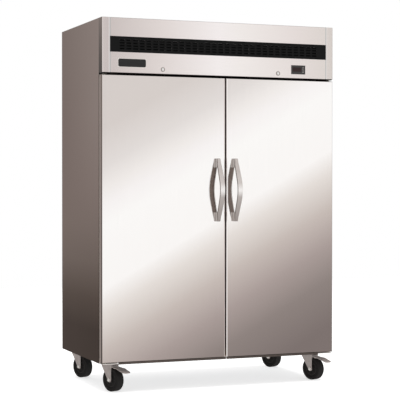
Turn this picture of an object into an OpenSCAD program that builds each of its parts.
// Two-door upright reach-in refrigerator with a top-mounted refrigeration unit, on swivel casters.
// Millimetres. +Z is up, the doors face -Y, and the floor is at Z = 0.
// The origin lies on the floor, midway between the handle fronts and the back panel.

/* [Cabinet] */
// Width over the two side panels
cab_w = 1370; // [1240:10:1500]
// Depth of the cabinet behind the doors
cab_d = 720; // [640:10:860]
// Height from the floor to the top of the side panels
cab_h = 2010; // [1860:10:2420]
// Height of the cabinet's underside above the floor
base_z = 160; // [158:1:190]
// Thickness of the insulated walls
wall_t = 60; // [50:1:70]
// Thickness of the outer sheet metal
sheet_t = 1; // [0.8:0.1:1.5]
// Thickness of the inner liner sheet
liner_t = 1; // [0.6:0.1:1.5]
// Width of the post between the two door openings
post_w = 110; // [106:2:130]
// Depth of that post
post_d = 55; // [40:1:70]

/* [Header] */
// Height of the header in front of the machine compartment
header_h = 294; // [260:2:340]
// Width of the corner caps at the header's ends
cap_w = 44; // [36:1:60]
// Height of the black intake band
band_h = 84; // [60:1:100]
// Distance from the header's top edge down to the band
band_drop = 100; // [70:1:120]
// Depth of the recess that holds the band
band_recess = 9; // [6:0.5:14]
// Radius of the header's rounded edges
header_r = 6; // [3:0.5:8]
// Distance of the controller's centre right of the cabinet's centre
controller_x = 467; // [300:1:520]
// Height of the controller's centre above the header's lower edge
controller_rise = 48; // [36:1:60]
// Width of the controller's bezel
controller_w = 85; // [76:1:100]
// Height of the controller's bezel
controller_h = 50; // [44:1:60]
// Distance of each door lock from the cabinet's centre
lock_x = 342; // [250:1:400]
// Height of the locks above the header's lower edge
lock_rise = 24; // [22:1:30]

/* [Doors] */
// Thickness of the doors with their gaskets, which is also the header's depth
front_d = 60; // [56:1:70]
// Depth of the door's outer metal skin
skin_d = 30; // [26:1:34]
// Thickness of the magnetic gasket
gasket_t = 12; // [8:0.5:16]
// Width of the magnetic gasket
gasket_w = 24; // [18:1:28]
// Distance from the door's edge in to the gasket
gasket_in = 24; // [23:1:28]
// Gap between the header and the doors
top_gap = 11; // [10:0.5:16]
// Height of the doors' lower edge above the cabinet's underside
bottom_gap = 8; // [7:0.5:14]
// Gap between the two doors
meet_gap = 8; // [5:0.5:12]
// Distance of the doors' meeting line right of the cabinet's centre
meet_x = 27; // [-30:1:30]
// Radius of the doors' rounded front edges
edge_r = 8; // [6:0.5:10]
// Distance of the hinge axis from the door's side edge
pivot_in = 20; // [19:0.5:20.5]
// Distance of the hinge axis behind the door's face
pivot_back = 28; // [27.5:0.5:28.5]
// Radius of the hinge pins
hinge_pin_r = 6; // [5:0.5:7]

/* [Handles] */
// Length of the bow handles
handle_len = 345; // [280:5:420]
// Distance that the handles stand out from the doors
handle_out = 83; // [70:1:100]
// Width of the handle's bar at its middle
handle_w = 29; // [24:1:34]
// Width of the handle's bar at its ends
handle_end_w = 24; // [20:1:28]
// Thickness of the handle's bar
handle_t = 11; // [9:0.5:14]
// Height of each foot along the door
handle_foot = 50; // [40:1:60]
// Height of the handles' centre above the floor
handle_z = 1090; // [950:5:1200]
// Distance of each handle from the doors' meeting line
handle_in = 52; // [44:1:70]
// Slope of the bar's straight ends
handle_slope = 24.4; // [20:0.1:28]

/* [Shelves] */
// Number of shelves in each half of the cabinet
shelf_count = 3; // [2:1:4]
// Height of the lowest shelf above the cabinet's inside floor
shelf_first = 210; // [150:5:260]
// Thickness of a shelf's rim
shelf_rim = 8; // [6:0.5:10]
// Thickness of a shelf's wires
shelf_wire = 4; // [3:0.5:5]
// Widest spacing of a shelf's wires
shelf_pitch = 30; // [22:1:40]
// Thickness of the slotted strips that carry the shelf clips
strip_t = 5; // [4:0.5:8]
// Width of those strips
strip_w = 22; // [18:1:28]

/* [Casters] */
// Diameter of the caster wheels
wheel_d = 127; // [110:1:127]
// Width of the caster wheels
wheel_w = 44; // [30:1:48]
// Distance from the swivel axis to the wheel's axle
trail = 38; // [30:1:44]
// Distance of the swivel axes from the cabinet's sides
caster_in_x = 82; // [81:1:140]
// Distance of the front swivel axes behind the cabinet's front edge
caster_front = 85; // [56:1:120]
// Distance of the rear swivel axes from the cabinet's back
caster_rear = 60; // [56:1:120]
// Turn of the casters about their swivel axes at rest
caster_turn = 22; // [0:1:30]
// Length of the brake pedal in front of the swivel axis
pedal_reach = 158; // [140:1:165]
// Width of the brake pedal's foot plate
pedal_w = 56; // [44:1:60]

/* [Refrigeration] */
// Diameter of the compressor's shell
compressor_d = 160; // [140:1:180]
// Height of the compressor's shell
compressor_h = 200; // [170:1:215]
// Width of the condenser coil
condenser_w = 400; // [340:5:440]
// Height of the condenser coil
condenser_h = 230; // [190:2:240]
// Depth of the condenser coil
condenser_d = 66; // [44:1:80]
// Diameter of the condenser fan
condenser_fan_d = 200; // [170:1:206]
// Width of the evaporator's housing
evaporator_w = 900; // [780:10:960]
// Height of the evaporator's housing
evaporator_h = 176; // [168:1:200]
// Depth of the evaporator's housing
evaporator_d = 320; // [300:5:340]
// Diameter of each evaporator fan
evaporator_fan_d = 140; // [120:1:146]

/* [Hidden] */
$fn = 48;

// Clearances: cut is the overrun of a cutting tool, play the gap between parts of different bodies
cut = 1;
play = 0.3;
running = 0.05;
left = -1;
right = 1;

// Main planes
half_w = cab_w / 2;
half_d = (cab_d + front_d + handle_out) / 2;
back_y = half_d;
cab_y = back_y - cab_d;
face_y = cab_y - front_d;
header_z = cab_h - header_h;
cavity_x = half_w - wall_t;
cavity_back = back_y - wall_t;
cavity_floor = base_z + wall_t;
cavity_top = header_z - wall_t;
post_x = meet_x;
frame_t = 2;
base_t = 2;

// Door planes
door_z0 = base_z + bottom_gap;
door_z1 = header_z - top_gap;
door_back = front_d - gasket_t;
plug_in = gasket_in + gasket_w + 14;
plug_out = gasket_t - 4;
bush_r = hinge_pin_r + 2.5;
bush_len = 24;
flange_r = bush_r + 3;
bracket_t = 4;
bracket_w = 85;
bracket_flange_t = 3;

// Lock: the cam turns down through the header into a slot in the door's top edge
lock_z = header_z + lock_rise;
cam_y = face_y + 31;
cam_t = 2.5;
cam_w = 11;
cam_len = lock_rise + top_gap + 6;
slot_depth = 12;
slot_play = 1.5;
lock_barrel_r = 9.5;
lock_plug_r = 6;

// Header
header_sheet = 1.2;
band_top = cab_h - band_drop;
band_low = band_top - band_h;
header_w = cab_w - 2 * cap_w;
window_pitch = 38;
window_w = 28;
window_in = 16;
slot_margin = 12;
slot_web = 8;
intake_windows = floor((header_w / 2 - 40) / window_pitch);
slot_rows = 4;
controller_z = header_z + controller_rise;
button_x = controller_x + controller_w / 2 - 14;
button_pitch = 12;
button_r = 2.8;
button_len = 10;
button_proud = 1.6;
bezel_t = 3;
bezel_rim = 6;
controller_depth = 52;
window_low = 11;
window_high = 13;
window_left = 7;
window_right = 25;
window_deep = 1.5;

// Shelves
strip_front_y = cab_y + 105;
strip_back_y = cavity_back - liner_t - 70;
shelf_y0 = cab_y + post_d + 12;
shelf_y1 = cavity_back - liner_t - strip_t - 9;
shelf_low = cavity_floor + shelf_first;
shelf_room = cavity_top - evaporator_h - 70 - shelf_low;
shelf_step = shelf_room / shelf_count;
shelf_z = [for (i = [0 : shelf_count - 1]) shelf_low + i * shelf_step];
strip_z0 = cavity_floor + 60;
strip_z1 = cavity_top - evaporator_h - 30;
clip_len = 14;
clip_w = 16;

// Casters
wheel_r = wheel_d / 2;
plate_t = 4;
plate_x = 100;
plate_y = 85;
plate_z = base_z - plate_t;
fork_gap = wheel_w + 5;
leg_t = 3;
crown_r = 30;
crown_top = plate_z - 9;
crown_low = crown_top - 4;
axle_r = 5;
kingpin_r = 6;
casters = [
  [-half_w + caster_in_x, cab_y + caster_front],
  [half_w - caster_in_x, cab_y + caster_front],
  [-half_w + caster_in_x, back_y - caster_rear],
  [half_w - caster_in_x, back_y - caster_rear]
];
pedal_axis = [46, 134];
pedal_pin_r = 3;

// Refrigeration unit
deck_z = header_z;
condenser_x = -330;
condenser_y = cab_y + 40;
condenser_z = deck_z + condenser_h / 2 + 12;
shroud_d = 50;
condenser_fan_y = condenser_y + condenser_d + shroud_d + 3;
motor_y = condenser_fan_y + 38;
motor_r = 40;
motor_len = 70;
shaft_r = 3;
compressor_x = 150;
compressor_y = cab_y + 250;
evaporator_z = cavity_top - liner_t - evaporator_h;
evaporator_front = cavity_back - liner_t - evaporator_d;
coil_y = evaporator_front + 130;
coil_top = cavity_top - liner_t - 6;
passage_x = 60;
passage_y = coil_y + 10;
passage_r = 16;
fan_x = 230;
fan_z = evaporator_z + evaporator_h / 2 + 4;
box_x = 480;
box_w = 200;
box_d = 140;
box_h = 110;
box_y = back_y - 130 - box_d;
gland_z = deck_z + 45;
gland_r = 10.5;

// Small building blocks

// A block given by its low and high corners
module block(low, high) {
  translate(low) cube(high - low);
}

// A rod along X, Y or Z from a point
module rod_x(p, r, len) { translate(p) rotate([0, 90, 0]) cylinder(r = r, h = len); }
module rod_y(p, r, len) { translate(p) rotate([-90, 0, 0]) cylinder(r = r, h = len); }
module rod_z(p, r, len) { translate(p) cylinder(r = r, h = len); }

// A straight tube piece between two points, with ball ends that blend into the next piece
module pipe(points, r) {
  for (i = [0 : len(points) - 2]) {
    from = points[i];
    run = points[i + 1] - from;
    length = norm(run);
    tilt = acos(run[2] / length);
    turn = atan2(run[1], run[0]);
    translate(from) rotate([0, tilt, turn]) cylinder(r = r, h = length, $fn = 24);
  }
  for (i = [1 : len(points) - 2]) translate(points[i]) sphere(r = r, $fn = 24);
}

// Cabinet shell

module side_panel(side) {
  outer = side * half_w;
  inner = side * (half_w - sheet_t);
  lip = side * (half_w - 22);
  x0 = min(outer, inner);
  x1 = max(outer, inner);
  color("dimgray") {
    union() {
      block([x0, cab_y, base_z], [x1, back_y - sheet_t, cab_h]);
      block([min(lip, inner), cab_y + 2, cab_h - sheet_t], [max(lip, inner), back_y - sheet_t, cab_h]);
    }
  }
}

module back_panel() {
  louvre_rows = 3;
  louvre_pitch = 16;
  louvre_len = 56;
  color("silver") difference() {
    block([-half_w, back_y - sheet_t, base_z], [half_w, back_y, cab_h]);
    for (row = [0 : louvre_rows - 1], i = [-14 : 14])
      if (abs(i) > 1)
        translate([i * louvre_pitch * 2.4, back_y, header_z + 60 + row * (louvre_len + 18)])
          cube([7, 4 * sheet_t, louvre_len], center = true);
    rod_y([box_x, back_y - 2 * sheet_t, gland_z], gland_r + 0.2, 4 * sheet_t);
  }
}

module base_pan() {
  color("gray")
    block([-half_w + sheet_t, cab_y, base_z], [half_w - sheet_t, back_y - sheet_t, base_z + base_t]);
}

module top_deck() {
  color("lightgray") difference() {
    union() {
      block([-half_w + sheet_t, cab_y + frame_t, deck_z - sheet_t],
            [half_w - sheet_t, back_y - sheet_t, deck_z]);
      block([-half_w + sheet_t, back_y - 2 * sheet_t, deck_z],
            [half_w - sheet_t, back_y - sheet_t, deck_z + 18]);
    }
    evaporator_passage();
  }
}

module insulation() {
  color("khaki") difference() {
    block([-half_w + sheet_t, cab_y + frame_t, base_z + base_t],
          [half_w - sheet_t, back_y - sheet_t, deck_z - sheet_t]);
    block([-cavity_x, cab_y, cavity_floor], [cavity_x, cavity_back, cavity_top]);
    evaporator_passage();
  }
}

// The hole in the ceiling for the refrigerant lines and the fan cable
module evaporator_passage() {
  rod_z([passage_x, passage_y, cavity_top - 2 * liner_t], passage_r, wall_t + 4 * liner_t);
}

module cabinet_liner() {
  t = liner_t;
  color("whitesmoke") difference() {
    block([-cavity_x, cab_y + frame_t, cavity_floor], [cavity_x, cavity_back, cavity_top]);
    block([-cavity_x + t, cab_y, cavity_floor + t], [cavity_x - t, cavity_back - t, cavity_top - t]);
    evaporator_passage();
  }
}

// The metal frame around the door openings, with the post between them
module front_frame() {
  t = frame_t;
  color("silver") union() {
    difference() {
      block([-half_w + sheet_t, cab_y, base_z + base_t], [half_w - sheet_t, cab_y + t, deck_z]);
      for (side = [left, right]) {
        edge = post_x + side * post_w / 2;
        jamb = side * (cavity_x - liner_t);
        block([min(edge, jamb), cab_y - cut, cavity_floor + liner_t],
              [max(edge, jamb), cab_y + t + cut, cavity_top - liner_t]);
      }
    }
    difference() {
      block([post_x - post_w / 2, cab_y, cavity_floor + liner_t],
            [post_x + post_w / 2, cab_y + post_d, cavity_top - liner_t]);
      block([post_x - post_w / 2 + t, cab_y + t, cavity_floor],
            [post_x + post_w / 2 - t, cab_y + post_d - t, cavity_top]);
    }
  }
}

// Header

// The header panel's bent section, drawn as depth by height
module header_section(inset) {
  r = header_r - inset;
  difference() {
    union() {
      translate([inset + r, inset]) square([front_d - r, header_h - 2 * inset]);
      translate([inset, inset + r]) square([2 * r, header_h - 2 * inset - 2 * r]);
      for (z = [inset + r, header_h - inset - r]) translate([inset + r, z]) circle(r = r);
    }
    translate([-cut, band_low - header_z - inset])
      square([cut + band_recess + inset, band_h + 2 * inset]);
    translate([front_d, -cut]) square([header_h, header_h + 2 * cut]);
  }
}

module header_panel() {
  color("gainsboro") difference() {
    translate([-header_w / 2, face_y, header_z]) rotate([90, 0, 90])
      linear_extrude(header_w) difference() {
        header_section(0);
        header_section(header_sheet);
      }
    block([controller_x - controller_w / 2 + 5, face_y - cut, controller_z - controller_h / 2 + 5],
          [controller_x + controller_w / 2 - 5, face_y + 5, controller_z + controller_h / 2 - 5]);
    for (side = [left, right]) {
      rod_y([side * lock_x, face_y - cut, lock_z], lock_barrel_r, 6);
      cam_slot(side, header_z, header_sheet);
    }
    for (i = [-intake_windows : intake_windows])
      block([i * window_pitch - window_w / 2, face_y + band_recess - cut, band_low + window_in],
            [i * window_pitch + window_w / 2, face_y + band_recess + 4, band_top - window_in]);
  }
}

// The slot that the lock's cam sweeps through, on the side that it turns down from
module cam_slot(side, z, thickness) {
  drop = lock_z - z - thickness;
  reach = sqrt(max(cam_len * cam_len - drop * drop, 0)) + cam_w / 2 + 2;
  back = cam_w / 2 + slot_play;
  x0 = side * lock_x - (side < 0 ? reach : back);
  x1 = side * lock_x + (side < 0 ? back : reach);
  block([x0, cam_y - slot_play, z - cut], [x1, cam_y + cam_t + slot_play, z + thickness + cut]);
}

module header_end_caps() {
  t = 2;
  for (side = [left, right])
    color("silver") scale_x(side) translate([header_w / 2, face_y, header_z]) difference() {
      linear_extrude(header_h) difference() {
        square([cap_w, front_d]);
        translate([cap_w - header_r, 0]) difference() {
          translate([0, -cut]) square([header_r + cut, header_r + cut]);
          translate([0, header_r]) circle(r = header_r);
        }
      }
      translate([-cut, 0, t]) linear_extrude(header_h - 2 * t) difference() {
        translate([0, t]) square([cap_w - t + cut, front_d]);
        translate([cap_w - header_r + cut, 0]) difference() {
          translate([0, -cut]) square([header_r + cut, header_r + cut]);
          translate([0, header_r]) circle(r = header_r - t);
        }
      }
    }
}

// Mirrors a shape drawn for the right side over to the left side
module scale_x(side) {
  if (side < 0) mirror([1, 0, 0]) children();
  else children();
}

// The black band: a moulded strip with rows of slots, set into the header's recess
module intake_band() {
  y0 = face_y + 4;
  y1 = face_y + band_recess;
  row_pitch = (band_h - 2 * slot_margin) / slot_rows;
  color("black") difference() {
    block([-header_w / 2, y0, band_low], [header_w / 2, y1, band_top]);
    for (i = [-intake_windows : intake_windows], row = [0 : slot_rows - 1])
      translate([i * window_pitch, (y0 + y1) / 2, band_low + slot_margin + (row + 0.5) * row_pitch])
        cube([window_pitch - slot_web, 2 * (y1 - y0), row_pitch / 2], center = true);
  }
}

// Controller

module controller_housing() {
  w = controller_w;
  h = controller_h;
  y1 = face_y + controller_depth;
  color([0.16, 0.16, 0.17]) difference() {
    union() {
      block([controller_x - w / 2, face_y - bezel_t, controller_z - h / 2],
            [controller_x + w / 2, face_y, controller_z + h / 2]);
      block([controller_x - w / 2 + bezel_rim, face_y, controller_z - h / 2 + bezel_rim],
            [controller_x + w / 2 - bezel_rim, y1, controller_z + h / 2 - bezel_rim]);
    }
    block([controller_x - w / 2 + window_left, face_y - bezel_t - cut, controller_z - window_low],
          [controller_x + w / 2 - window_right, face_y - bezel_t + window_deep, controller_z + window_high]);
    for (i = [-1 : 1])
      rod_y([button_x, face_y - bezel_t - cut, controller_z + i * button_pitch], button_r + play,
            button_len + 2 + cut);
  }
}

module controller_display() {
  w = controller_w;
  color([0.25, 0.04, 0.05])
    block([controller_x - w / 2 + window_left, face_y - bezel_t + 0.3, controller_z - window_low],
          [controller_x + w / 2 - window_right, face_y - bezel_t + window_deep, controller_z + window_high]);
}

module button(row) {
  color([0.5, 0.5, 0.52])
    rod_y([button_x, face_y - bezel_t - button_proud, controller_z + row * button_pitch], button_r,
          button_len);
}

// Locks

module lock_housings() {
  color("silver") for (side = [left, right]) difference() {
    union() {
      rod_y([side * lock_x, face_y - 2, lock_z], lock_barrel_r + 2.5, 2);
      rod_y([side * lock_x, face_y, lock_z], lock_barrel_r, 28);
    }
    rod_y([side * lock_x, face_y - 3, lock_z], lock_plug_r + running, 40);
  }
}

// The turning plug with its key slot and cam; the cam points outwards when unlocked
module lock_cylinder(side) {
  color("gold") difference() {
    union() {
      rod_y([side * lock_x, face_y - 2.5, lock_z], lock_plug_r, cam_y + cam_t - face_y + 2.5);
      x_far = side * (lock_x + cam_len);
      x_near = side * lock_x;
      block([min(x_far, x_near), cam_y, lock_z - cam_w / 2],
            [max(x_far, x_near), cam_y + cam_t, lock_z + cam_w / 2]);
    }
    block([side * lock_x - 0.6, face_y - 3.5, lock_z - 4], [side * lock_x + 0.6, face_y + 5, lock_z + 4]);
  }
}

// Doors, drawn between two X planes and hinged at the side given

function door_x0(side) = side < 0 ? -half_w : meet_x + meet_gap / 2;
function door_x1(side) = side < 0 ? meet_x - meet_gap / 2 : half_w;
function pivot_x(side) = side * (half_w - pivot_in);
pivot_y = face_y + pivot_back;

// A block whose front edges are rounded all the way round
module front_rounded(x0, x1, y0, y1, z0, z1, r) {
  intersection() {
    translate([0, 0, z0]) linear_extrude(z1 - z0) union() {
      translate([x0, y0 + r]) square([x1 - x0, y1 - y0 - r]);
      translate([x0 + r, y0]) square([x1 - x0 - 2 * r, r + 0.01]);
      for (x = [x0 + r, x1 - r]) translate([x, y0 + r]) circle(r = r);
    }
    translate([x0, 0, 0]) rotate([90, 0, 90]) linear_extrude(x1 - x0) union() {
      translate([y0 + r, z0]) square([y1 - y0 - r, z1 - z0]);
      translate([y0, z0 + r]) square([r + 0.01, z1 - z0 - 2 * r]);
      for (z = [z0 + r, z1 - r]) translate([y0 + r, z]) circle(r = r);
    }
  }
}

// Cuts for the bushes and the lock's cam
module door_pockets(side) {
  rod_z([pivot_x(side), pivot_y, door_z0 - cut], bush_r, bush_len + cut);
  rod_z([pivot_x(side), pivot_y, door_z1 - bush_len], bush_r, bush_len + cut);
  cam_slot(side, door_z1 - slot_depth, slot_depth);
}

module door_skin(side) {
  x0 = door_x0(side);
  x1 = door_x1(side);
  t = sheet_t;
  color("lightgray") difference() {
    front_rounded(x0, x1, face_y, face_y + skin_d, door_z0, door_z1, edge_r);
    front_rounded(x0 + t, x1 - t, face_y + t, face_y + skin_d + cut, door_z0 + t, door_z1 - t, edge_r - t);
    door_pockets(side);
  }
}

module door_liner(side) {
  x0 = door_x0(side);
  x1 = door_x1(side);
  t = liner_t;
  y1 = face_y + door_back;
  in = plug_in;
  color("white") difference() {
    union() {
      block([x0, face_y + skin_d, door_z0], [x1, y1, door_z1]);
      block([x0 + in, y1 - cut, door_z0 + in], [x1 - in, y1 + plug_out, door_z1 - in]);
    }
    block([x0 + t, face_y + skin_d - cut, door_z0 + t], [x1 - t, y1 - t, door_z1 - t]);
    block([x0 + in + t, y1 - t - cut, door_z0 + in + t],
          [x1 - in - t, y1 + plug_out - t, door_z1 - in - t]);
    door_pockets(side);
  }
}

module door_foam(side) {
  x0 = door_x0(side);
  x1 = door_x1(side);
  s = sheet_t;
  t = max(liner_t, sheet_t);
  in = plug_in + liner_t;
  y1 = face_y + door_back - liner_t;
  color("khaki") difference() {
    union() {
      front_rounded(x0 + s, x1 - s, face_y + s, face_y + skin_d, door_z0 + s, door_z1 - s, edge_r - s);
      block([x0 + t, face_y + skin_d - cut, door_z0 + t], [x1 - t, y1, door_z1 - t]);
      block([x0 + in, y1 - cut, door_z0 + in], [x1 - in, y1 + plug_out, door_z1 - in]);
    }
    door_pockets(side);
  }
}

module door_gasket(side) {
  x0 = door_x0(side) + gasket_in;
  x1 = door_x1(side) - gasket_in;
  z0 = door_z0 + gasket_in;
  z1 = door_z1 - gasket_in;
  y0 = face_y + door_back;
  y1 = cab_y - play;
  color("gray") difference() {
    block([x0, y0, z0], [x1, y1, z1]);
    block([x0 + gasket_w, y0 - cut, z0 + gasket_w], [x1 - gasket_w, y1 + cut, z1 - gasket_w]);
  }
}

// The top and bottom hinge bushes of a door; the bottom one carries the door on its flange
module door_bushes(side) {
  color("ivory") for (end = [0, 1]) {
    z0 = end == 0 ? base_z + bracket_t + play : door_z1 - bush_len;
    z1 = end == 0 ? door_z0 + bush_len : door_z1 + 3;
    flange_z = end == 0 ? z0 : door_z1;
    flange_h = end == 0 ? door_z0 - z0 : 3;
    difference() {
      union() {
        rod_z([pivot_x(side), pivot_y, z0], bush_r, z1 - z0);
        rod_z([pivot_x(side), pivot_y, flange_z], flange_r, flange_h);
      }
      rod_z([pivot_x(side), pivot_y, z0 - cut], hinge_pin_r + running, z1 - z0 + 2 * cut);
    }
  }
}

// The bow handle's side view: distance out from the door by height from its middle
bow_r = 150;
bow_flat_z = bow_r * sin(handle_slope);
bow_drop = bow_r * (1 - cos(handle_slope));
function bow_out(z) =
  let (a = abs(z))
  a < bow_flat_z ? handle_out - bow_r + sqrt(bow_r * bow_r - a * a)
                 : handle_out - bow_drop - (a - bow_flat_z) * tan(handle_slope);
bow_steps = 10;
bow_zs = concat([-handle_len / 2], [for (i = [-bow_steps : bow_steps]) bow_flat_z * i / bow_steps],
                [handle_len / 2]);
bow_thick = handle_t / cos(handle_slope);

module door_handle(side) {
  x = meet_x + side * handle_in;
  n = len(bow_zs);
  outer = [for (z = bow_zs) [-bow_out(z), z]];
  foot_z = handle_len / 2 - handle_foot;
  inner = [for (i = [n - 2 : -1 : 1]) [-bow_out(bow_zs[i]) + handle_t, bow_zs[i]]];
  top_foot = [[0, handle_len / 2], [0, foot_z], [-bow_out(foot_z) + bow_thick, foot_z]];
  low_foot = [[-bow_out(foot_z) + bow_thick, -foot_z], [0, -foot_z], [0, -handle_len / 2]];
  color("silver") translate([x, face_y, handle_z]) intersection() {
    rotate([90, 0, 90]) translate([0, 0, -handle_w / 2])
      linear_extrude(handle_w) polygon(concat(outer, top_foot, inner, low_foot));
    rotate([90, 0, 0]) translate([0, 0, -cut]) linear_extrude(handle_out + 2 * cut) polygon([
      [-handle_end_w / 2, -handle_len / 2], [handle_end_w / 2, -handle_len / 2],
      [handle_w / 2, -handle_len / 6], [handle_w / 2, handle_len / 6],
      [handle_end_w / 2, handle_len / 2], [-handle_end_w / 2, handle_len / 2],
      [-handle_w / 2, handle_len / 6], [-handle_w / 2, -handle_len / 6]
    ]);
  }
}

// Hinge brackets on the cabinet: a plate above and below each door with a fixed pin

module hinge_brackets() {
  color("gray") for (side = [left, right]) {
    x_out = side * (half_w - 4);
    x_in = side * (half_w - 4 - bracket_w);
    x0 = min(x_out, x_in);
    x1 = max(x_out, x_in);
    union() {
      block([x0, face_y + 6, base_z], [x1, cab_y, base_z + bracket_t]);
      block([x0, cab_y - bracket_flange_t, base_z], [x1, cab_y, door_z0 + gasket_in - 4]);
      rod_z([pivot_x(side), pivot_y, base_z + 1], hinge_pin_r, bottom_gap + bush_len - 4);
    }
    union() {
      block([x0, face_y + 6, header_z - bracket_t], [x1, cab_y, header_z]);
      block([x0, cab_y - bracket_flange_t, door_z1 - gasket_in + 4], [x1, cab_y, header_z]);
      rod_z([pivot_x(side), pivot_y, door_z1 - bush_len + 3], hinge_pin_r, bush_len + top_gap - 4);
    }
  }
}

// Shelves and what carries them

function bay_x0(side) = side < 0 ? -cavity_x + liner_t + strip_t + 6 : meet_x + 4;
function bay_x1(side) = side < 0 ? meet_x - 4 : cavity_x - liner_t - strip_t - 6;

// Each corner of a shelf is carried from a strip: where it is, and which way the clip points
function corners(side) = [
  [side * (cavity_x - liner_t), strip_front_y, [-side, 0]],
  [side * (cavity_x - liner_t), strip_back_y, [-side, 0]],
  [meet_x + side * 26, cab_y + post_d, [0, 1]],
  [meet_x + side * 26, cavity_back - liner_t, [0, -1]]
];

// Turns a shape that stands on a wall at the origin and points along +X to a strip's own place
module at_strip(c) {
  translate([c[0], c[1], 0]) rotate([0, 0, atan2(c[2][1], c[2][0])]) children();
}

module shelf_strips() {
  color("silver") for (side = [left, right], c = corners(side)) at_strip(c) difference() {
    block([0, -strip_w / 2, strip_z0], [strip_t, strip_w / 2, strip_z1]);
    block([-cut, -strip_w / 2 + 6, strip_z0 - cut], [strip_t - 1.2, strip_w / 2 - 6, strip_z1 + cut]);
  }
}

module shelf_clips() {
  color("silver") for (side = [left, right], c = corners(side), z = shelf_z) at_strip(c) union() {
    block([strip_t, -clip_w / 2, z - 26], [strip_t + 2, clip_w / 2, z]);
    block([strip_t, -clip_w / 2, z - 3], [strip_t + clip_len + 4, clip_w / 2, z]);
  }
}

module shelf(side, z) {
  x0 = bay_x0(side);
  x1 = bay_x1(side);
  rim = shelf_rim;
  count = ceil((x1 - x0 - 2 * rim) / shelf_pitch);
  step = (x1 - x0 - 2 * rim) / count;
  union() {
    difference() {
      block([x0, shelf_y0, z], [x1, shelf_y1, z + rim]);
      block([x0 + rim, shelf_y0 + rim, z - cut], [x1 - rim, shelf_y1 - rim, z + rim + cut]);
    }
    for (i = [1 : count - 1])
      translate([x0 + rim + i * step, (shelf_y0 + shelf_y1) / 2, z + rim - shelf_wire / 2])
        cube([shelf_wire, shelf_y1 - shelf_y0 - rim, shelf_wire], center = true);
    for (y = [1, 2])
      translate([(x0 + x1) / 2, shelf_y0 + (shelf_y1 - shelf_y0) * y / 3, z + rim / 2 - 1])
        cube([x1 - x0 - rim, shelf_wire + 1, rim - 2], center = true);
  }
}

module shelves(side) {
  color("lightgray") for (z = shelf_z) shelf(side, z);
}

// Evaporator in the cabinet's ceiling

module evaporator_housing() {
  t = 1.5;
  w = evaporator_w / 2;
  z1 = cavity_top - liner_t;
  color("whitesmoke") difference() {
    block([-w, evaporator_front, evaporator_z], [w, cavity_back - liner_t - 2, z1]);
    block([-w + t, evaporator_front + t, evaporator_z + t],
          [w - t, cavity_back - liner_t - 2 + cut, z1 + cut]);
    for (side = [left, right])
      rod_y([side * fan_x, evaporator_front - cut, fan_z], evaporator_fan_d / 2 + 3, 4);
    for (i = [-12 : 12])
      block([i * 34 - 12, cavity_back - 70, evaporator_z - cut],
            [i * 34 + 12, cavity_back - 40, evaporator_z + 4]);
  }
}

module evaporator_coil() {
  w = evaporator_w / 2 - 40;
  y0 = coil_y;
  y1 = y0 + 130;
  z0 = evaporator_z + 14;
  z1 = coil_top;
  color("orange") union() {
    block([-w, y0, z0], [w, y1, z1]);
    for (row = [0 : 2], col = [0 : 1], side = [left, right])
      scale_x(side) translate([w - 0.5, y0 + 35 + col * 60, z0 + 28 + row * 48])
        rotate([90, 0, 0]) rotate_extrude() translate([12, 0]) circle(r = 4.5, $fn = 24);
    for (side = [left, right])
      translate([side * (w - 8), (y0 + y1) / 2, z1])
        cube([3, y1 - y0, 2 * (cavity_top - liner_t - z1)], center = true);
  }
}

// A round wire guard drawn flat about the origin, facing -Y
module guard(r) {
  ring = 2.2;
  rotate([90, 0, 0]) {
    for (k = [1 : 4])
      rotate_extrude() translate([r * k / 4, 0]) square([ring, ring], center = true);
    for (a = [0 : 45 : 135]) rotate([0, 0, a]) cube([2 * r, ring, ring], center = true);
    cylinder(r = 14, h = ring, center = true);
  }
}

module fan_guards() {
  color("gray") for (side = [left, right])
    translate([side * fan_x, evaporator_front - 1.1, fan_z]) guard(evaporator_fan_d / 2 + 5);
  color("gray") for (side = [left, right]) union() {
    rod_y([side * fan_x, evaporator_front + 46, fan_z], 28, 44);
    rod_y([side * fan_x, evaporator_front + 22, fan_z], shaft_r, 30);
    for (a = [45, 135])
      translate([side * fan_x, evaporator_front + 80, fan_z]) rotate([0, a, 0])
        cube([evaporator_fan_d + 30, 3, 8], center = true);
    for (a = [45 : 90 : 315])
      translate([side * fan_x, evaporator_front, fan_z]) rotate([0, a, 0])
        translate([evaporator_fan_d / 2 + 11, 41.5, 0]) cube([6, 80, 8], center = true);
  }
}

// A fan with flat pitched blades on a hub, drawn about the origin with its axis along Y
module fan(d, depth, blades) {
  hub_r = d * 0.16;
  rotate([-90, 0, 0]) difference() {
    union() {
      cylinder(r = hub_r, h = depth);
      intersection() {
        for (a = [0 : 360 / blades : 359])
          rotate([0, 0, a]) translate([d / 4 + hub_r / 2, 0, depth / 2]) rotate([28, 0, 0])
            cube([d / 2 - hub_r * 0.9, d * 0.26, 2], center = true);
        difference() {
          cylinder(r = d / 2, h = depth);
          translate([0, 0, -cut]) cylinder(r = hub_r - 1, h = depth + 2 * cut);
        }
      }
    }
    translate([0, 0, -cut]) cylinder(r = shaft_r + running, h = depth + 2 * cut);
  }
}

module evaporator_fan(side) {
  color("dimgray") translate([side * fan_x, evaporator_front + 12, fan_z]) fan(evaporator_fan_d - 8, 30, 5);
}

module interior_lamps() {
  z1 = cavity_top - liner_t;
  color("white") for (side = [left, right])
    translate([side * 330 + meet_x, 0, 0]) union() {
      block([-110, cab_y + 30, z1 - 10], [110, cab_y + 74, z1]);
      rod_x([-96, cab_y + 52, z1 - 14], 13, 192);
    }
}

// Condensing unit on the top deck

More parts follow.
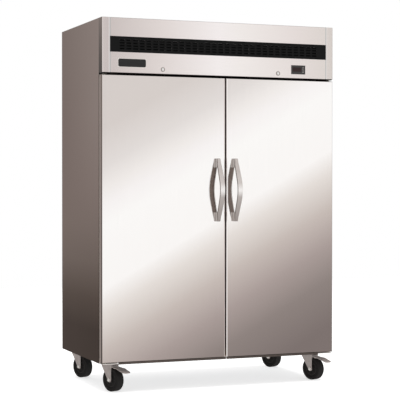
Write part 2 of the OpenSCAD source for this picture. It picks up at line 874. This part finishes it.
module compressor() {
  r = compressor_d / 2;
  foot_z = 14;
  color([0.12, 0.12, 0.13]) translate([compressor_x, compressor_y, deck_z]) {
    union() {
      translate([0, 0, foot_z]) rotate_extrude() polygon(concat(
        [[0, 0], [r * 0.86, 0]],
        [for (a = [-60 : 20 : 0]) [r * 0.86 + r * 0.14 * cos(a), 20 + 20 * sin(a)]],
        [[r, compressor_h - 60]],
        [for (a = [10 : 10 : 90]) [r * cos(a), compressor_h - 60 + (60 - foot_z) * sin(a)]]
      ));
      translate([0, 0, foot_z + 2]) cube([compressor_d + 60, 60, 4], center = true);
      translate([0, 0, foot_z + 2]) cube([60, compressor_d + 60, 4], center = true);
      translate([0, -r - 12, foot_z + 84]) cube([62, 56, 74], center = true);
      translate([r * 0.5, r * 0.5, compressor_h - 60]) cylinder(r = 5, h = 56);
    }
    for (a = [0 : 90 : 270]) rotate([0, 0, a]) difference() {
      rod_z([r + 18, 0, 0], 11, foot_z);
      rod_z([r + 18, 0, -cut], 4, foot_z + 2 * cut);
    }
  }
}

module condenser_coil() {
  w = condenser_w / 2;
  h = condenser_h / 2;
  rows = 6;
  color("silver") translate([condenser_x, condenser_y, condenser_z]) union() {
    block([-w, 0, -h + 6], [w, condenser_d, h - 6]);
    for (side = [left, right]) {
      translate([side * (w + 1), condenser_d / 2, 0]) cube([2, condenser_d + 10, 2 * h], center = true);
      for (row = [0 : rows - 1])
        translate([side * (w + 2), condenser_d / 2, -h + 22 + row * (2 * h - 44) / (rows - 1)])
          rotate([0, 0, 90]) rotate_extrude() translate([15, 0]) circle(r = 4.8, $fn = 24);
    }
    for (side = [left, right])
      translate([side * (w + 1), condenser_d / 2, -h - 6]) cube([2, condenser_d + 10, 12], center = true);
  }
}

module condenser_shroud() {
  t = 1.2;
  w = condenser_w / 2;
  h = condenser_h / 2;
  orifice_r = condenser_fan_d / 2 + 4;
  color("gray") translate([condenser_x, condenser_y + condenser_d + 5, condenser_z]) difference() {
    union() {
      block([-w, 0, -h], [w, shroud_d, h]);
      rod_y([0, shroud_d - cut, 0], orifice_r + t, 22 + cut);
      for (side = [left, right])
        translate([side * (w - 20), shroud_d / 2, -h - 6]) cube([40, shroud_d, 12], center = true);
    }
    block([-w + t, -cut, -h + t], [w - t, shroud_d - t, h - t]);
    rod_y([0, shroud_d - 2 * t - cut, 0], orifice_r, 40);
  }
}

// The fan's motor on its bracket, which stands on the deck
module condenser_motor() {
  y0 = motor_y;
  color("dimgray") union() {
    rod_y([condenser_x, y0, condenser_z], motor_r, motor_len);
    rod_y([condenser_x, y0 - 30, condenser_z], shaft_r, 32);
    rod_y([condenser_x, y0 + motor_len - cut, condenser_z], motor_r * 0.6, 10 + cut);
    block([condenser_x - 30, y0 + 12, deck_z + 3], [condenser_x + 30, y0 + 50, condenser_z - motor_r + 6]);
    block([condenser_x - 70, y0 + 2, deck_z], [condenser_x + 70, y0 + 60, deck_z + 3]);
  }
}

module condenser_fan() {
  color("lightgray") translate([condenser_x, condenser_fan_y + 8, condenser_z])
    fan(condenser_fan_d, 26, 5);
}

// Copper lines with the filter drier; every line keeps clear of its neighbours
module refrigerant_lines() {
  port = compressor_d / 4;
  coil_end = condenser_x + condenser_w / 2 + 2;
  coil_mid = condenser_y + condenser_d / 2;
  hot_x = coil_end + 58;
  hot_z = deck_z + compressor_h + 30;
  hot_y = compressor_y + port + 110;
  liquid_x = coil_end + 38;
  liquid_z = deck_z + 60;
  drier_y = compressor_y + 60;
  drier_len = 110;
  cold_x = compressor_x - 30;
  shell_y = compressor_y + compressor_d / 2 - 3;
  color("peru") {
    // discharge line, from the compressor to the condenser
    pipe([[compressor_x + port, compressor_y + port, hot_z - 34],
          [compressor_x + port, compressor_y + port, hot_z],
          [compressor_x + port, hot_y, hot_z], [hot_x, hot_y, hot_z], [hot_x, coil_mid + 40, hot_z],
          [hot_x, coil_mid, condenser_z + 70], [coil_end, coil_mid, condenser_z + 70]], 4.8);
    // liquid line, from the condenser through the drier to the passage
    pipe([[coil_end, coil_mid, liquid_z], [liquid_x, coil_mid, liquid_z],
          [liquid_x, drier_y, liquid_z]], 4.8);
    rod_y([liquid_x, drier_y, liquid_z], 15, drier_len);
    pipe([[liquid_x, drier_y + drier_len, liquid_z], [liquid_x, passage_y + 8, liquid_z],
          [passage_x - 6, passage_y + 8, liquid_z], [passage_x - 6, passage_y + 8, coil_top]], 3);
    // suction line, from the passage back to the compressor
    pipe([[passage_x + 6, passage_y - 7, coil_top], [passage_x + 6, passage_y - 7, liquid_z],
          [cold_x, passage_y - 7, liquid_z], [cold_x, shell_y, liquid_z]], 5.5);
  }
}

// Junction box with the gland for the supply cable in the back panel
module electrical_box() {
  z0 = deck_z;
  color("gainsboro") union() {
    block([box_x - box_w / 2, box_y, z0], [box_x + box_w / 2, box_y + box_d, z0 + box_h]);
    block([box_x - box_w / 2 - 4, box_y - 4, z0 + box_h],
          [box_x + box_w / 2 + 4, box_y + box_d + 4, z0 + box_h + 3]);
    for (i = [-1 : 1]) rod_y([box_x + i * 50, box_y - 16, z0 + 40], 10, 16 + cut);
  }
  color("gainsboro") difference() {
    union() {
      rod_y([box_x, back_y - 16, gland_z], gland_r, 16);
      rod_y([box_x, back_y - sheet_t - 8, gland_z], gland_r + 4, 8);
    }
    rod_y([box_x, back_y - 17, gland_z], gland_r / 2, 30);
  }
}

// Casters, drawn about the swivel axis with the wheel trailing along +X

module at_caster(i) {
  translate([casters[i][0], casters[i][1], 0]) rotate([0, 0, -90 + caster_turn]) children();
}

module caster_plates() {
  color("silver") for (i = [0 : 3]) {
    translate([casters[i][0], casters[i][1], 0]) union() {
      difference() {
        translate([0, 0, plate_z + plate_t / 2]) cube([plate_x, plate_y, plate_t], center = true);
        for (x = [left, right], y = [left, right])
          rod_z([x * (plate_x / 2 - 12), y * (plate_y / 2 - 12), plate_z - cut], 4.5, plate_t + 2 * cut);
      }
      rod_z([0, 0, crown_top + play], crown_r, plate_z - crown_top - play);
      rod_z([0, 0, crown_low - 7], kingpin_r, plate_z - crown_low + 7);
      rod_z([0, 0, crown_low - 8], 11, 8 - play);
    }
  }
}

// One fork: crown and two legs, and the axle bolt with its nut as a second solid
module fork(braked) {
  half = fork_gap / 2;
  span = fork_gap + 2 * leg_t;
  color("darkgray") difference() {
    union() {
      rod_z([0, 0, crown_low], crown_r + 3, crown_top - crown_low);
      translate([8, 0, (crown_low + crown_top) / 2]) cube([60, span, crown_top - crown_low], center = true);
      for (side = [left, right])
        translate([0, side * (half + leg_t / 2), 0]) rotate([90, 0, 0])
          linear_extrude(leg_t, center = true) union() {
            polygon([[-28, crown_top], [-28, crown_top - 10], [trail - 13, wheel_r - 2],
                     [trail + 13, wheel_r - 2], [trail + 13, crown_top]]);
            translate([trail, wheel_r]) circle(r = 13);
          }
    }
    rod_z([0, 0, crown_low - cut], kingpin_r + running, 20);
    rod_y([trail, -span / 2 - cut, wheel_r], axle_r + running, span + 2 * cut);
    if (braked)
      rod_y([pedal_axis[0], -span / 2 - cut, pedal_axis[1]], pedal_pin_r + running, span + 2 * cut);
  }
  color("silver") union() {
    rod_y([trail, -span / 2 - 2 * running, wheel_r], axle_r, span + 4 * running);
    for (side = [left, right])
      translate([trail, side * (span / 2 + running + 3.5), wheel_r]) rotate([90, 0, 0])
        cylinder(r = 9.5, h = 7, center = true, $fn = 6);
    for (side = [left, right])
      translate([trail, side * (span / 2 + running + 8.5), wheel_r]) rotate([90, 0, 0])
        cylinder(r = axle_r, h = 3, center = true);
  }
}

module wheel() {
  w = wheel_w / 2;
  hub = fork_gap / 2 - play;
  color([0.1, 0.1, 0.1]) translate([trail, 0, wheel_r]) rotate([90, 0, 0]) rotate_extrude() polygon([
    [axle_r + running, -hub], [14, -hub], [16, -w + 4], [wheel_r - 20, -w + 6], [wheel_r - 16, -w],
    [wheel_r - 5, -w], [wheel_r - 1, -w + 5], [wheel_r, -w / 3], [wheel_r, w / 3],
    [wheel_r - 1, w - 5], [wheel_r - 5, w], [wheel_r - 16, w], [wheel_r - 20, w - 6], [16, w - 4],
    [14, hub], [axle_r + running, hub]
  ]);
}

// The brake pedal turns on a pin across the fork and presses its shoe on the tread
module pedal() {
  w = fork_gap / 2 - play;
  t = 3;
  bend = [102, 127];
  tip = [pedal_reach, 108];
  shoe_x = 66;
  color("darkgray") union() {
    rod_y([pedal_axis[0], -fork_gap / 2 - leg_t, pedal_axis[1]], pedal_pin_r, fork_gap + 2 * leg_t);
    rod_y([pedal_axis[0], -w, pedal_axis[1]], 5, 2 * w);
    translate([shoe_x, 0, pedal_axis[1] - 6]) cube([12, wheel_w - 10, 6], center = true);
    intersection() {
      rotate([90, 0, 0]) linear_extrude(pedal_w + 2 * cut, center = true) polygon([
        [pedal_axis[0], pedal_axis[1] - t / 2], bend - [0, t / 2], tip - [0, t / 2],
        tip + [0, t / 2], bend + [0, t / 2], [pedal_axis[0], pedal_axis[1] + t / 2]
      ]);
      linear_extrude(base_z) polygon([
        [pedal_axis[0], 1 - w], [86, 1 - w], [104, -pedal_w / 2], [pedal_reach - 8, -pedal_w / 2 + 2],
        [pedal_reach, -pedal_w / 4], [pedal_reach, pedal_w / 4],
        [pedal_reach - 8, pedal_w / 2 - 2], [104, pedal_w / 2], [86, w - 1], [pedal_axis[0], w - 1]
      ]);
    }
  }
}

side_panel(left);  // left_side_panel
side_panel(right);  // right_side_panel
back_panel();
base_pan();
top_deck();
insulation();
cabinet_liner();
front_frame();
header_panel();
header_end_caps();
intake_band();
controller_housing();
controller_display();
button(-1);  // set_button
button(1);  // up_button
button(0);  // down_button
lock_housings();
lock_cylinder(left);  // left_lock_cylinder
lock_cylinder(right);  // right_lock_cylinder
hinge_brackets();
door_skin(left);  // left_door_skin
door_liner(left);  // left_door_liner
door_foam(left);  // left_door_foam
door_gasket(left);  // left_door_gasket
door_bushes(left);  // left_door_bushes
door_handle(left);  // left_door_handle
door_skin(right);  // right_door_skin
door_liner(right);  // right_door_liner
door_foam(right);  // right_door_foam
door_gasket(right);  // right_door_gasket
door_bushes(right);  // right_door_bushes
door_handle(right);  // right_door_handle
shelf_strips();
shelf_clips();
shelves(left);  // left_shelves
shelves(right);  // right_shelves
evaporator_housing();
evaporator_coil();
fan_guards();
evaporator_fan(left);  // left_evaporator_fan
evaporator_fan(right);  // right_evaporator_fan
interior_lamps();
compressor();
condenser_coil();
condenser_shroud();
condenser_motor();
condenser_fan();
refrigerant_lines();
electrical_box();
caster_plates();
at_caster(0) fork(braked = true);  // front_left_fork
at_caster(1) fork(braked = true);  // front_right_fork
at_caster(2) fork(braked = false);  // rear_left_fork
at_caster(3) fork(braked = false);  // rear_right_fork
at_caster(0) wheel();  // front_left_wheel
at_caster(1) wheel();  // front_right_wheel
at_caster(2) wheel();  // rear_left_wheel
at_caster(3) wheel();  // rear_right_wheel
at_caster(0) pedal();  // front_left_pedal
at_caster(1) pedal();  // front_right_pedal
